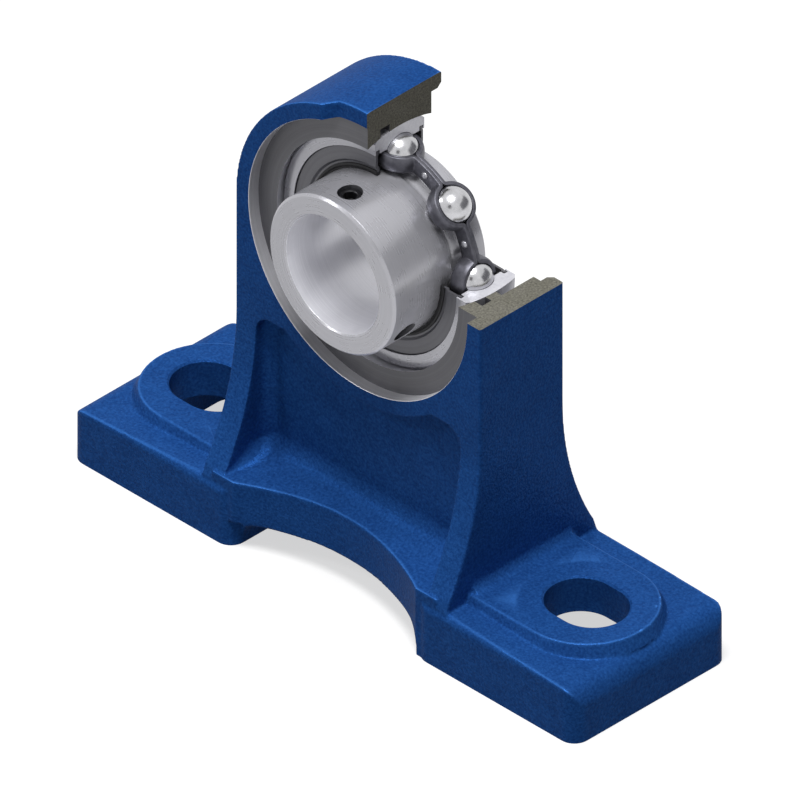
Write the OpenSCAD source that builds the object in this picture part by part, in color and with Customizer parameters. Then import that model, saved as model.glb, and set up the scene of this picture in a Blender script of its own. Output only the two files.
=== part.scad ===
// High-centre pillow block bearing, built as a cutaway display unit.
// One quarter of the housing, outer ring and seals is cut away to show the balls.
// X runs along the feet, Y along the shaft (front is -Y), Z up from the base.

/* [Housing] */
// Height of the shaft centre above the base
centre_h = 90; // [85:0.5:110]
// Length over both feet
base_l = 163; // [158:0.5:180]
// Depth of the feet
base_w = 50; // [46:0.5:60]
// Height of the machined bolt pads
pad_h = 18; // [16:0.25:22]
// Height of the pads above the foot they stand on
pad_step = 1.8; // [1:0.1:3]
// Half width of a bolt pad
pad_r = 17; // [15:0.25:19]
// Fall of the foot top from the column to its outer end
foot_fall = 1.6; // [0.5:0.1:3]
// Wall of the crown around the recess of the seat
rim_t = 4.2; // [3.2:0.1:6.5]
// Depth of the column
column_w = 27; // [25:0.25:32]
// Thickness of the web between the pockets
web_t = 19; // [14:0.25:21]
// Width of the flanges beside the pockets
flange_t = 6.5; // [4.5:0.25:9]
// Radius of the flare where the flanges widen to the feet
flare_r = 78; // [70:1:90]
// Height where the flare starts
flare_z = 57; // [52:0.5:60]
// Depth of the bridge at its waist between the feet
bridge_w = 33; // [28:0.5:40]
// Height of the bridge at the web
bridge_h = 22.5; // [20:0.25:26]
// Height of the front and rear edges of the bridge
ledge_h = 18.4; // [17:0.1:19.5]
// Height of the arch under the bridge
arch_h = 7.6; // [6:0.1:9]
// Half of the gap between the feet
foot_gap = 29.5; // [26:0.25:31]
// Radius of the upright corners of the feet
corner_r = 4; // [2:0.25:6]

/* [Bolt slots] */
// Distance between the bolt slots
bolt_span = 121; // [118:0.5:126]
// Width of a bolt slot
slot_w = 17; // [13:0.25:19]
// Length of a bolt slot
slot_l = 21; // [19:0.25:24]

/* [Bearing seat] */
// Width of the flat ring between the insert and the recess wall
recess_step = 4.3; // [2.5:0.1:5.5]
// Depth of the recess from the column face
recess_d = 3.2; // [2:0.1:4]
// Clearance between the outer ring and its round seat
seat_gap = 0.06; // [0.03:0.01:0.12]
// Width of the grease groove in the seat
groove_w = 3; // [2:0.1:4]
// Depth of the grease groove
groove_d = 1.9; // [1:0.1:2.5]
// Depth of the two filling slots at the back of the seat
filling_d = 2; // [1:0.1:3]

/* [Insert bearing] */
// Outer diameter of the round outer ring
outer_d = 62; // [60:0.1:63.5]
// Width of the outer ring
outer_w = 16; // [15:0.1:17]
// Bore for the shaft
bore_d = 30; // [28:0.25:31]
// Reach of the inner ring in front of the balls
inner_front = 22; // [20:0.25:26]
// Reach of the inner ring behind the balls
inner_back = 8; // [7.75:0.25:11]
// Distance of the ball circle outside the middle between bore and outer ring
pitch_shift = 0.75; // [0.5:0.05:1]
// Distance of the inner ring's outside below the ball circle
inner_step = 3.4; // [3.2:0.05:3.6]
// Diameter of a ball
ball_d = 9.5; // [9.1:0.1:9.7]
// Number of balls
balls = 8; // [8:1:8]
// Clearance between a ball and its tracks and pocket
ball_gap = 0.1; // [0.05:0.01:0.15]
// Thickness of the outer ring beside its track
ring_t = 4.7; // [4.4:0.05:4.8]

/* [Cage] */
// Clearance between the inner ring and the cage
cage_in = 1.25; // [0.95:0.05:1.65]
// Clearance between the cage and the outer ring
cage_out = 0.5; // [0.3:0.05:1]
// Sheet thickness of one cage half
cage_t = 0.95; // [0.7:0.05:1]
// Radius of a rivet head
rivet_r = 0.9; // [0.6:0.05:1.1]
// Height of a rivet head
rivet_h = 0.5; // [0.3:0.05:0.7]

/* [Seals] */
// Sheet thickness of the shields
shield_t = 0.6; // [0.4:0.05:0.8]
// Distance of the shield face inside the outer ring face
shield_in = 0.4; // [0.3:0.05:0.6]
// Running clearance of the rubber lip on the inner ring
lip_gap = 0.08; // [0.04:0.01:0.12]

/* [Set screws] */
// Thread diameter of the set screws
screw_d = 6; // [5:0.25:6.5]
// Distance of the set screws from the front face
screw_in = 6; // [5:0.25:8]
// Hexagon socket size across flats
hex_af = 3; // [2.5:0.1:3.2]
// Angle of the first set screw around the shaft
screw_angle = 90; // [60:5:120]
// Angle from the first set screw to the second
screw_spread = 120; // [60:5:130]

/* [Hidden] */
$fn = 96;
eps = 0.01;
far = 200;

half_l = base_l / 2;
half_w = base_w / 2;
half_c = column_w / 2;
half_b = bridge_w / 2;
outer_r = outer_d / 2;
bore_r = bore_d / 2;
ball_r = ball_d / 2;
seat_r = outer_r + seat_gap;
recess_r = outer_r + recess_step;
filling_r = outer_r + filling_d;
filling_w = outer_w + 3;
column_r = recess_r + rim_t;
pocket_x = column_r - flange_t;
foot_h = pad_h - pad_step;
over = 1;
end_r = 5;
edge_r = 2.5;
pad_flare = 1.5;
pad_fillet = 3;
pad_inset = 1;
fillet_r = 4;
flange_sink = 3;
flange_inset = 0.6;
pocket_r = 5;
pocket_lap = 0.5;
pocket_top = flare_z + 1.5;
ledge_flat = 3;
arch_rise = 0.6;
arch_corner = 5;
notch_x = 9;
notch_d = 3.2;
notch_sink = 4;
back_chamfer = 1.2;
groove_y = -4.7;
pitch_r = (outer_r + bore_r) / 2 + pitch_shift;
track_r = ball_r + ball_gap;
inner_r = pitch_r - inner_step;
shoulder_r = outer_r - ring_t;
land_y = 4.6;
land_d = 0.25;
ring_chamfer = 0.8;
outer_chamfer = 0.6;
seal_groove_r = shoulder_r + 1.1;
seal_groove_w = 1.2;
shield_y = outer_w / 2 - shield_in;
shield_ro = seal_groove_r - 0.15;
shield_ri = inner_r + 0.95;
shield_step_r = shield_ri + 1.3;
shield_step = 0.5;
lip_ri = inner_r + lip_gap;
lip_t = 0.7;
lip_edge = 0.35;
cage_ri = inner_r + cage_in;
cage_ro = shoulder_r - cage_out;
pocket_fn = 40;
rivet_shank_r = rivet_r / 2;
rivet_top_r = rivet_r * 0.6;
screw_end_gap = 0.4;
screw_top_gap = 0.9;
screw_chamfer = 0.4;
thread_gap = 0.05;
hex_floor = 1.45;
screw_y = -inner_front + screw_in;
shaft_z = [0, 0, centre_h];

// Points of an arc of radius r about [x, y] from angle a to angle b
function arc(x, y, r, a, b, n = 10) =
    [for (i = [0 : n]) let (t = a + (b - a) * i / n) [x + r * cos(t), y + r * sin(t)]];

// Points of a flat arch of radius r with its top at the height z, over the angle a to each side
function arch(z, r, a) = arc(0, z - r, r, 90 + a, 90 - a, 16);

// Radius of a circle that passes through the top of a sag s over a half chord c
function sag_r(c, s) = (c * c + s * s) / (2 * s);

// Half depth of a flange at the height z
function flare(z) =
    half_c + (z < flare_z ? flare_r - sqrt(flare_r * flare_r - (flare_z - z) * (flare_z - z)) : 0);

// Turns a profile of [radius, position along the shaft] into a ring on the shaft
module on_shaft() {
    translate(shaft_z) rotate([-90, 0, 0]) rotate_extrude($fn = 144) children();
}

// Stands an outline of [x, z] up and gives it the depth from y0 to y1
module upright(y0, y1) {
    translate([0, y1, 0]) rotate([90, 0, 0]) linear_extrude(y1 - y0) children();
}

// The quarter that is cut away to show the inside
module window() {
    translate([0, -far / 2, centre_h]) cube([far, far, far]);
}

// Outline of a foot from above
module foot_plan() {
    polygon(concat(
        arc(half_l - corner_r, half_w - corner_r, corner_r, 90, 0),
        arc(half_l - corner_r, corner_r - half_w, corner_r, 0, -90),
        arc(foot_gap + corner_r, corner_r - half_w, corner_r, -90, -180),
        arc(foot_gap + corner_r, half_w - corner_r, corner_r, 180, 90)));
}

// Outline of a foot from the front, with its falling top and round end
module foot_side() {
    end_h = foot_h - foot_fall;
    polygon(concat([[foot_gap, 0], [foot_gap, foot_h]],
        arc(half_l - end_r, end_h - end_r, end_r, 85, 0), [[half_l, 0]]));
}

// Outline of the feet from the end, with its two long edges rounded
module foot_end() {
    polygon(concat([[-half_w, 0]],
        arc(edge_r - half_w, foot_h - edge_r, edge_r, 180, 90),
        arc(half_w - edge_r, foot_h - edge_r, edge_r, 90, 0), [[half_w, 0]]));
}

module foot_block() {
    intersection() {
        linear_extrude(foot_h + over) foot_plan();
        upright(-half_w - over, half_w + over) foot_side();
        rotate([90, 0, 90]) linear_extrude(half_l + over) foot_end();
    }
}

// Raised pad with sloping sides around a bolt slot
module bolt_pad() {
    pad_x = bolt_span / 2;
    translate([pad_x, 0, foot_h - foot_fall])
        cylinder(h = pad_step + foot_fall, r1 = pad_r + pad_flare, r2 = pad_r);
    rotate([90, 0, 90]) translate([0, 0, column_r - over]) linear_extrude(pad_x - column_r + over)
        polygon([[-pad_r - pad_flare, foot_h - foot_fall], [-pad_r, pad_h], [pad_r, pad_h],
            [pad_r + pad_flare, foot_h - foot_fall]]);
    translate([column_r - eps, 0, pad_h - eps]) rotate([90, 0, 0])
        linear_extrude(2 * (pad_r - pad_inset), center = true) difference() {
            square(pad_fillet);
            translate([pad_fillet, pad_fillet]) circle(pad_fillet);
        }
}

// Outline of the column from the front
module column_front() {
    translate([-column_r, foot_h / 2]) square([2 * column_r, centre_h - foot_h / 2]);
    translate([0, centre_h]) circle(column_r);
}

// Outline of the pocket under the ring of the seat
module pocket_front() {
    difference() {
        polygon(concat([[-pocket_x, foot_h / 2]],
            arc(pocket_r - pocket_x, pocket_top - pocket_r, pocket_r, 180, 90),
            arc(pocket_x - pocket_r, pocket_top - pocket_r, pocket_r, 90, 0),
            [[pocket_x, foot_h / 2]]));
        translate([0, centre_h]) circle(column_r - pocket_lap);
    }
}

// Outline of a flange from the side, widening from the column to the feet
module flange_side() {
    n = 16;
    low = foot_h - flange_sink;
    widest = half_w - flange_inset;
    up = [for (i = [0 : n]) let (z = low + (flare_z - low) * i / n) [min(flare(z), widest), z]];
    polygon(concat(up, [[half_c, flare_z + over], [-half_c, flare_z + over]],
        [for (i = [n : -1 : 0]) [-up[i][0], up[i][1]]]));
}

module column() {
    difference() {
        upright(-half_c, half_c) column_front();
        upright(-far, -web_t / 2) pocket_front();
        upright(web_t / 2, far) pocket_front();
    }
    for (s = [0, 1]) mirror([s, 0, 0]) {
        rotate([90, 0, 90]) translate([0, 0, pocket_x]) linear_extrude(flange_t) flange_side();
    }
}

// Outline of the bridge from above, drawn in to a waist by a round hollow on each side
module bridge_plan() {
    widest = half_w - flange_inset;
    r = sag_r(foot_gap, widest - half_b);
    difference() {
        square([2 * pocket_x + flange_t, 2 * widest], center = true);
        for (s = [-1, 1]) translate([0, s * (half_b + r)]) circle(r, $fn = 180);
    }
}

// Side outline of half the bridge, falling in a hollow curve from the web to the ledge
module bridge_side() {
    run = half_w - ledge_flat - web_t / 2;
    r = sag_r(run, bridge_h - ledge_h);
    polygon(concat([[0, 0], [0, bridge_h]],
        arc(web_t / 2 + run, ledge_h + r, r, 270 - asin(run / r), 270, 8),
        [[half_w, ledge_h], [half_w, 0]]));
}

// Hollow fillet where the bridge meets the web
module web_fillet() {
    translate([0, -web_t / 2 + eps, bridge_h - eps]) rotate([90, 0, -90])
        linear_extrude(2 * pocket_x, center = true) difference() {
            square(fillet_r);
            translate([fillet_r, fillet_r]) circle(fillet_r);
        }
}

module bridge() {
    intersection() {
        for (s = [0, 1]) mirror([0, s, 0]) {
            rotate([90, 0, 90]) linear_extrude(2 * pocket_x + flange_t, center = true) bridge_side();
            web_fillet();
        }
        linear_extrude(bridge_h + fillet_r + over) bridge_plan();
    }
}

// Outline of the open arch between the feet, with a round corner at each foot
module arch_front() {
    r = sag_r(foot_gap, arch_rise);
    reach = foot_gap - arch_corner;
    span = asin(reach / (r - arch_corner));
    corner_z = arch_h - r + (r - arch_corner) * cos(span);
    polygon(concat([[-foot_gap, -over]],
        arc(-reach, corner_z, arch_corner, 180, 90 + span, 6),
        arch(arch_h, r, span),
        arc(reach, corner_z, arch_corner, 90 - span, 0, 6), [[foot_gap, -over]]));
}

// Everything that the seat, its recesses and its filling slots take out
module seat_cut() {
    y_in = half_c - recess_d;
    on_shaft() {
        translate([0, -half_c - over]) square([recess_r, recess_d + over]);
        translate([0, y_in]) square([recess_r, recess_d + over]);
        translate([0, half_c - back_chamfer]) polygon([[0, 0], [recess_r, 0],
            [recess_r + back_chamfer + over, back_chamfer + over], [0, back_chamfer + over]]);
        translate([0, groove_y - groove_w / 2]) square([outer_r + groove_d, groove_w]);
    }
    intersection() {
        translate(shaft_z) sphere(r = seat_r, $fn = 144);
        translate([-far / 2, -y_in - eps, 0]) cube([far, 2 * y_in + 2 * eps, far]);
    }
    intersection() {
        on_shaft() square([filling_r, y_in + over]);
        translate([-far / 2, -far / 2, centre_h - filling_w / 2]) cube([far, far, filling_w]);
    }
}

// Shallow notch in the front edge of the crown
module crown_notch() {
    translate([0, -half_c, centre_h + recess_r - notch_sink]) linear_extrude(far)
        polygon([[-notch_x - notch_d, -over], [-notch_x - notch_d, 0], [-notch_x, notch_d],
            [notch_x, notch_d], [notch_x + notch_d, 0], [notch_x + notch_d, -over]]);
}

module bolt_slot() {
    run = slot_l - slot_w;
    translate([bolt_span / 2, 0, -over]) linear_extrude(pad_h + 2 * over) {
        square([run, slot_w], center = true);
        for (s = [-1, 1]) translate([s * run / 2, 0]) circle(slot_w / 2);
    }
}

// Cast iron housing with its feet, column, bridge and seat
module housing() {
    color("#12458c") difference() {
        union() {
            column();
            bridge();
            for (s = [0, 1]) mirror([s, 0, 0]) {
                foot_block();
                bolt_pad();
            }
        }
        upright(-far, far) arch_front();
        seat_cut();
        crown_notch();
        for (s = [0, 1]) mirror([s, 0, 0]) bolt_slot();
        window();
    }
}

// Outer ring with a round outside, a ball track and two seal grooves
module outer_ring() {
    y = outer_w / 2;
    edge = sqrt(outer_r * outer_r - y * y);
    color("#c4c4cc") difference() {
        intersection() {
            translate(shaft_z) sphere(r = outer_r, $fn = 144);
            on_shaft() polygon([[0, -y], [edge - outer_chamfer, -y], [outer_r, outer_chamfer - y],
                [outer_r, y - outer_chamfer], [edge - outer_chamfer, y], [0, y]]);
        }
        on_shaft() {
            translate([0, -y - over]) square([shoulder_r, outer_w + 2 * over]);
            for (s = [-1, 1]) translate([0, s * (shield_y - seal_groove_w / 2)])
                translate([0, -seal_groove_w / 2]) square([seal_groove_r, seal_groove_w]);
            translate([pitch_r, 0]) circle(track_r);
        }
        window();
    }
}

// Profile of a pressed shield that faces +Y, held in the seal groove
module shield_profile() {
    y = shield_y;
    polygon([[shield_ri, y - shield_t - shield_step], [shield_step_r, y - shield_t - shield_step],
        [shield_step_r + shield_step, y - shield_t], [shield_ro, y - shield_t], [shield_ro, y],
        [shield_step_r, y], [shield_step_r - shield_step, y - shield_step],
        [shield_ri, y - shield_step]]);
}

module shield() {
    color("#5c5c60") difference() {
        on_shaft() shield_profile();
        window();
    }
}

module rear_shield() {
    shield();
}

module front_shield() {
    mirror([0, 1, 0]) shield();
}

// Rubber lip that hangs in the inner edge of a shield and runs on the inner ring
module lip() {
    y = shield_y - shield_step;
    color("#18181a") difference() {
        on_shaft() polygon([[lip_ri, y - lip_t], [lip_ri + lip_edge, y - lip_t],
            [shield_ri, y - shield_t], [shield_ri, y], [lip_ri, y]]);
        window();
    }
}

module rear_lip() {
    lip();
}

module front_lip() {
    mirror([0, 1, 0]) lip();
}

// Places children on the axis of set screw k, with their z direction away from the shaft
module at_screw(k) {
    translate([0, screw_y, centre_h]) rotate([0, 90 - screw_angle + k * screw_spread, 0]) children();
}

// Inner ring, wide at the front to carry the set screws
module inner_ring() {
    c = ring_chamfer;
    color("#b9bac2") difference() {
        on_shaft() difference() {
            polygon([[bore_r + c / 2, -inner_front], [inner_r - c, -inner_front],
                [inner_r, c - inner_front], [inner_r, -land_y], [inner_r - land_d, -land_y],
                [inner_r - land_d, land_y], [inner_r, land_y], [inner_r, inner_back - c],
                [inner_r - c, inner_back], [bore_r + c / 2, inner_back], [bore_r, inner_back - c / 2],
                [bore_r, c / 2 - inner_front]]);
            translate([pitch_r, 0]) circle(track_r);
        }
        for (k = [0, 1]) at_screw(k) cylinder(h = inner_r + over, d = screw_d, $fn = 48);
    }
}

// Set screw with a hexagon socket, sunk below the surface of the ring
module set_screw(k) {
    low = bore_r + screw_end_gap;
    top = inner_r - screw_top_gap;
    r = screw_d / 2 - thread_gap;
    color("#1b1b1d") at_screw(k) difference() {
        translate([0, 0, low]) {
            cylinder(h = top - low - screw_chamfer, r = r, $fn = 48);
            translate([0, 0, top - low - screw_chamfer])
                cylinder(h = screw_chamfer, r1 = r, r2 = r - screw_chamfer, $fn = 48);
        }
        translate([0, 0, low + hex_floor]) cylinder(h = top - low, d = hex_af / cos(30), $fn = 6);
    }
}

module set_screw_top() {
    set_screw(0);
}

module set_screw_side() {
    set_screw(1);
}

// Places children at the angle of ball k, counted from the top
module at_ball(k) {
    translate(shaft_z) rotate([0, (k - 1) * 360 / balls, 0]) translate([0, 0, pitch_r]) children();
}

module ball(k) {
    color("#e6e6ea") at_ball(k) sphere(r = ball_r, $fn = 64);
}

// Ring section between the inner and outer radius of the cage, from its middle plane to depth y
module cage_ring(y) {
    on_shaft() translate([cage_ri, 0]) square([cage_ro - cage_ri, y]);
}

// A round solid at each ball
module ball_spheres(r) {
    for (k = [1 : balls]) at_ball(k) rotate([90, 0, 0]) sphere(r = r, $fn = pocket_fn);
}

// Half of the ribbon cage on the +Y side, with a round pocket for each ball
module cage_half() {
    color("#5a5a62") difference() {
        union() {
            cage_ring(cage_t);
            intersection() {
                cage_ring(track_r + cage_t + over);
                ball_spheres(track_r + cage_t);
            }
        }
        ball_spheres(track_r);
        for (k = [1 : balls]) at_rivet(k) cylinder(h = far, r = rivet_shank_r, center = true, $fn = 24);
    }
}

// Places children on the axis of the rivet between ball k and the next one
module at_rivet(k) {
    translate(shaft_z) rotate([0, (k - 0.5) * 360 / balls, 0])
        translate([0, 0, (cage_ri + cage_ro) / 2]) rotate([90, 0, 0]) children();
}

module cage_rear() {
    cage_half();
}

module cage_front() {
    mirror([0, 1, 0]) cage_half();
}

// Rivets that hold the two cage halves together
module cage_rivets() {
    color("#9a9aa2") for (k = [1 : balls]) at_rivet(k) {
        cylinder(h = 2 * cage_t, r = rivet_shank_r, center = true, $fn = 24);
        for (s = [0, 1]) mirror([0, 0, s]) translate([0, 0, cage_t])
            cylinder(h = rivet_h, r1 = rivet_r, r2 = rivet_top_r, $fn = 24);
    }
}

housing();
outer_ring();
front_shield();
rear_shield();
front_lip();
rear_lip();
inner_ring();
set_screw_top();
set_screw_side();
cage_front();
cage_rear();
cage_rivets();
for (k = [1 : balls]) ball(k);
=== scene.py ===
# %% [markdown]
# # A pillow block bearing, cut open
# A pillow block carries a turning shaft above a machine frame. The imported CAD
# model gives every size and place, and this notebook dresses it: the rough
# painted casting, the turned seat, the ground rings, the pressed cage and the
# polished balls. Lengths are in metres, so a value in millimetres is times MM.

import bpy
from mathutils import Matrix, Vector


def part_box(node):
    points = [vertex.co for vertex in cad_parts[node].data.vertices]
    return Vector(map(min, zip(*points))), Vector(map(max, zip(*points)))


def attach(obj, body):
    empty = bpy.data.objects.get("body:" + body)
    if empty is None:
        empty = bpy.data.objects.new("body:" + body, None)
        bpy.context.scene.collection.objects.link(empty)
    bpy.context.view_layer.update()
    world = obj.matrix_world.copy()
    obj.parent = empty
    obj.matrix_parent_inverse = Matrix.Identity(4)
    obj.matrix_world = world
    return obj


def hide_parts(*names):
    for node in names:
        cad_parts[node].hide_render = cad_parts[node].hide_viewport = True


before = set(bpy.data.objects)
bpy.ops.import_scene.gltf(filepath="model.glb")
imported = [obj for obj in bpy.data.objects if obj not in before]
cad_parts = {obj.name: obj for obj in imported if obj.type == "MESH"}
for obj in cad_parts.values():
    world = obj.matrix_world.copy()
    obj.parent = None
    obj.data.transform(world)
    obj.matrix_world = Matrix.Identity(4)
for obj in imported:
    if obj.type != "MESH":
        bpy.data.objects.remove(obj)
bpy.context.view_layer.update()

# %% Imports and units
import math

import bmesh
import bpy
from mathutils import Vector

MM = 0.001
inner_low, inner_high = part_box("inner_ring")
shaft = Vector((0, 0, (inner_low.z + inner_high.z) / 2))
print(f"shaft centre {shaft.z / MM:.1f} mm above the base")

# %% [markdown]
# ## Camera
# The object is seen in a true isometric view: the camera has no perspective
# and looks along the diagonal of a cube, so the three axes are foreshortened
# alike and a millimetre is as long everywhere in the picture.

# %% Camera
picture_px = 800
px_per_mm = 4.3764
view_dir = Vector((1, -1, 1)).normalized()
view_target = Vector((0.07, 0.07, 44.13)) * MM
view_distance = 0.8

camera_data = bpy.data.cameras.new("camera")
camera_data.type = "ORTHO"
camera_data.ortho_scale = picture_px / px_per_mm * MM
camera_data.clip_start = 0.01
camera = bpy.data.objects.new("camera", camera_data)
camera.location = view_target + view_dir * view_distance
camera.rotation_euler = (-view_dir).to_track_quat("-Z", "Y").to_euler()
bpy.context.scene.collection.objects.link(camera)
bpy.context.scene.camera = camera
bpy.context.scene.view_settings.view_transform = "Standard"
print(f"view is {camera_data.ortho_scale / MM:.0f} mm wide")

# %% [markdown]
# ## Nodes and colours
# Every finish below is a small tree of shader nodes. One helper adds a node,
# sets its settings and fills its inputs, either with a value or with a link
# from another node. Colours are written as the hex codes that a paint program
# shows, and one function turns them into the linear values a shader works in.
# The other helpers only save writing: a sum, a change of range, a mix of two
# colours, and a ramp from dark to light.

# %% Helpers for nodes and colours
def linear(hex_code):
    channels = [int(hex_code[i:i + 2], 16) / 255 for i in (1, 3, 5)]
    curve = [c / 12.92 if c <= 0.04045 else ((c + 0.055) / 1.055) ** 2.4 for c in channels]
    return (*curve, 1.0)


def add(tree, kind, inputs=None, **settings):
    node = tree.nodes.new(kind)
    for key, value in settings.items():
        setattr(node, key, value)
    for key, value in (inputs or {}).items():
        if isinstance(value, bpy.types.NodeSocket):
            tree.links.new(value, node.inputs[key])
        else:
            node.inputs[key].default_value = value
    return node


def maths(tree, operation, first, second=0.0):
    return add(tree, "ShaderNodeMath", {0: first, 1: second}, operation=operation).outputs["Value"]


def between(tree, value, low, high, start=0.0, end=1.0):
    node = add(tree, "ShaderNodeMapRange", {
        "Value": value, "From Min": start, "From Max": end, "To Min": low, "To Max": high})
    return node.outputs["Result"]


def two_colours(tree, share, first, second, blend="MIX"):
    return add(tree, "ShaderNodeMix", {"Factor": share, 6: first, 7: second},
               data_type="RGBA", blend_type=blend).outputs[2]


def ramp(tree, factor, stops):
    node = add(tree, "ShaderNodeValToRGB", {"Fac": factor})
    elements = node.color_ramp.elements
    while len(elements) < len(stops):
        elements.new(0.5)
    for element, (place, colour) in zip(elements, stops):
        element.position = place
        element.color = linear(colour)
    return node.outputs["Color"]


print("the paint's blue is", [round(c, 3) for c in linear("#204d8f")])

# %% [markdown]
# ## Finishes
# Each finish starts from the real material. Its grain has a real size, given
# in millimetres: a noise texture on Object coordinates shows one grain for
# each unit of its scale in a metre, so the scale is one over the grain size.

# %% A finish from grain, colour and bump
def start_material(name):
    material = bpy.data.materials.new(name)
    material.use_nodes = True
    tree = material.node_tree
    tree.nodes.clear()
    place = add(tree, "ShaderNodeTexCoord").outputs["Object"]
    return material, tree, place


def finish_material(tree, shader):
    add(tree, "ShaderNodeOutputMaterial", {"Surface": shader.outputs["BSDF"]})


def grain(tree, place, size_mm, detail):
    node = add(tree, "ShaderNodeTexNoise", {
        "Vector": place, "Scale": 1 / (size_mm * MM), "Detail": detail, "Roughness": 0.55})
    return node.outputs["Fac"]


def bump(tree, height, depth_mm, normal=None):
    inputs = {"Height": height, "Distance": depth_mm * MM, "Strength": 1.0}
    if normal:
        inputs["Normal"] = normal
    return add(tree, "ShaderNodeBump", inputs).outputs["Normal"]


# %% [markdown]
# ### Enamel on sand-cast iron
# The housing is cast in sand and then dipped in blue enamel. The sand leaves
# an orange-peel grain of about half a millimetre, which the paint softens but
# doesn't hide. The grain is drawn a little coarser than real sand, because
# finer grain would vanish at this picture size. The edges that point up are
# drawn in a paler blue, partly as paint rubbed thin by handling and partly as a
# painted highlight where the light catches them: the Pointiness of the Geometry
# node finds an edge, and the normal says whether it points up. Round each bolt
# slot a washer has kept the paint, so the paler edges are left out there.

# %% Blue enamel
BOLT_X = 60.5
WASHER_R = 16
WASHER_BLEND = 0.5
SAND_MM = 0.65
EDGE_FROM, EDGE_FULL = 0.505, 0.56
UP_FROM, UP_FULL, UP_WEAR_AND_HIGHLIGHT = 0.4, 1.0, 1.1


# Mask for the paler edges, part wear and part painted highlight, on convex edges that face up.
def worn_and_highlit_edges(tree, place):
    surface = add(tree, "ShaderNodeNewGeometry").outputs
    edge = between(tree, surface["Pointiness"], 0.0, 1.0, EDGE_FROM, EDGE_FULL)
    upward = add(tree, "ShaderNodeSeparateXYZ", {"Vector": surface["Normal"]}).outputs["Z"]
    facing_up = between(tree, upward, 0.0, UP_WEAR_AND_HIGHLIGHT, UP_FROM, UP_FULL)
    spot = add(tree, "ShaderNodeSeparateXYZ", {"Vector": place}).outputs
    beside = maths(tree, "SUBTRACT", maths(tree, "ABSOLUTE", spot["X"]), BOLT_X * MM)
    flat = add(tree, "ShaderNodeCombineXYZ", {"X": beside, "Y": spot["Y"]}).outputs["Vector"]
    from_bolt = add(tree, "ShaderNodeVectorMath", {0: flat}, operation="LENGTH").outputs["Value"]
    no_washer = between(tree, from_bolt, 0.0, 1.0,
                        (WASHER_R - WASHER_BLEND) * MM, (WASHER_R + WASHER_BLEND) * MM)
    return maths(tree, "MULTIPLY", maths(tree, "MULTIPLY", edge, facing_up), no_washer)


def blue_enamel():
    material, tree, place = start_material("blue enamel on sand-cast iron")
    sand = grain(tree, place, SAND_MM, 3)
    skin = grain(tree, place, 9.0, 2)
    colour = ramp(tree, sand, [(0.3, "#194180"), (0.5, "#204d8f"), (0.7, "#27589f")])
    shade = ramp(tree, skin, [(0.3, "#f0f0f2"), (0.7, "#ffffff")])
    coat = two_colours(tree, 1.0, colour, shade, "MULTIPLY")
    # Painted highlight and wear: a paler blue on the convex edges that face up.
    worn_and_highlit = two_colours(tree, worn_and_highlit_edges(tree, place), coat, linear("#4484da"))
    shader = add(tree, "ShaderNodeBsdfPrincipled", {
        "Base Color": worn_and_highlit,
        "Metallic": 0.14,
        "Roughness": between(tree, sand, 0.26, 0.36),
        "IOR": 1.5,
        "Specular IOR Level": 0.0,
        "Normal": bump(tree, sand, 0.15, bump(tree, skin, 0.25))})
    finish_material(tree, shader)
    return material


# %% [markdown]
# ### Sawn cast iron
# Where the display piece is cut open, grey iron shows: graphite flakes make it
# a dull brown grey with a fine open grain, and the saw leaves it matt.

# %% Sawn cast iron
def sawn_iron():
    material, tree, place = start_material("sawn grey cast iron")
    flakes = grain(tree, place, 0.5, 6)
    blotches = grain(tree, place, 4.0, 2)
    colour = ramp(tree, flakes, [(0.32, "#57564f"), (0.5, "#716f67"), (0.68, "#858378")])
    shade = ramp(tree, blotches, [(0.3, "#eeeeea"), (0.7, "#ffffff")])
    shader = add(tree, "ShaderNodeBsdfPrincipled", {
        "Base Color": two_colours(tree, 1.0, colour, shade, "MULTIPLY"),
        "Roughness": 0.8,
        "Specular IOR Level": 0.2,
        "Normal": bump(tree, flakes, 0.12)})
    finish_material(tree, shader)
    return material


# %% [markdown]
# ### Turned and ground steel
# A lathe tool and a grinding wheel both leave fine rings round the shaft. The
# distance from the shaft axis and the place along it decide where a ring lies,
# so noise that is read at those two numbers draws rings and nothing else.

# %% Metal with rings round the shaft
CLOUD_MM = 6.0
CLOUD_SHARE = 0.35
RING_SPREAD = 0.02
CLOUD_SPREAD = 0.06


def ring_noise(tree, place, size_mm):
    from_shaft = add(tree, "ShaderNodeVectorMath", {0: place, 1: tuple(shaft)},
                     operation="SUBTRACT")
    parts = add(tree, "ShaderNodeSeparateXYZ", {"Vector": from_shaft.outputs["Vector"]}).outputs
    flat = add(tree, "ShaderNodeCombineXYZ", {"X": parts["X"], "Y": parts["Z"]}).outputs["Vector"]
    radius = add(tree, "ShaderNodeVectorMath", {0: flat}, operation="LENGTH").outputs["Value"]
    spot = add(tree, "ShaderNodeCombineXYZ", {"X": radius, "Y": parts["Y"]}).outputs["Vector"]
    return add(tree, "ShaderNodeTexNoise", {
        "Vector": spot, "Scale": 1 / (size_mm * MM), "Detail": 2.0}).outputs["Fac"]


def ringed_metal(name, dark, light, roughness, metallic, ring_mm, depth_mm):
    material, tree, place = start_material(name)
    rings = ring_noise(tree, place, ring_mm)
    cloud = grain(tree, place, CLOUD_MM, 3)
    pattern = add(tree, "ShaderNodeMix", {
        "Factor": CLOUD_SHARE, "A": rings, "B": cloud}).outputs[0]
    rough = maths(tree, "ADD",
                  between(tree, rings, roughness - RING_SPREAD, roughness + RING_SPREAD),
                  between(tree, cloud, -CLOUD_SPREAD, CLOUD_SPREAD))
    shader = add(tree, "ShaderNodeBsdfPrincipled", {
        "Base Color": ramp(tree, pattern, [(0.3, dark), (0.7, light)]),
        "Metallic": metallic,
        "Roughness": rough,
        "Normal": bump(tree, rings, depth_mm)})
    finish_material(tree, shader)
    return material
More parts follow.
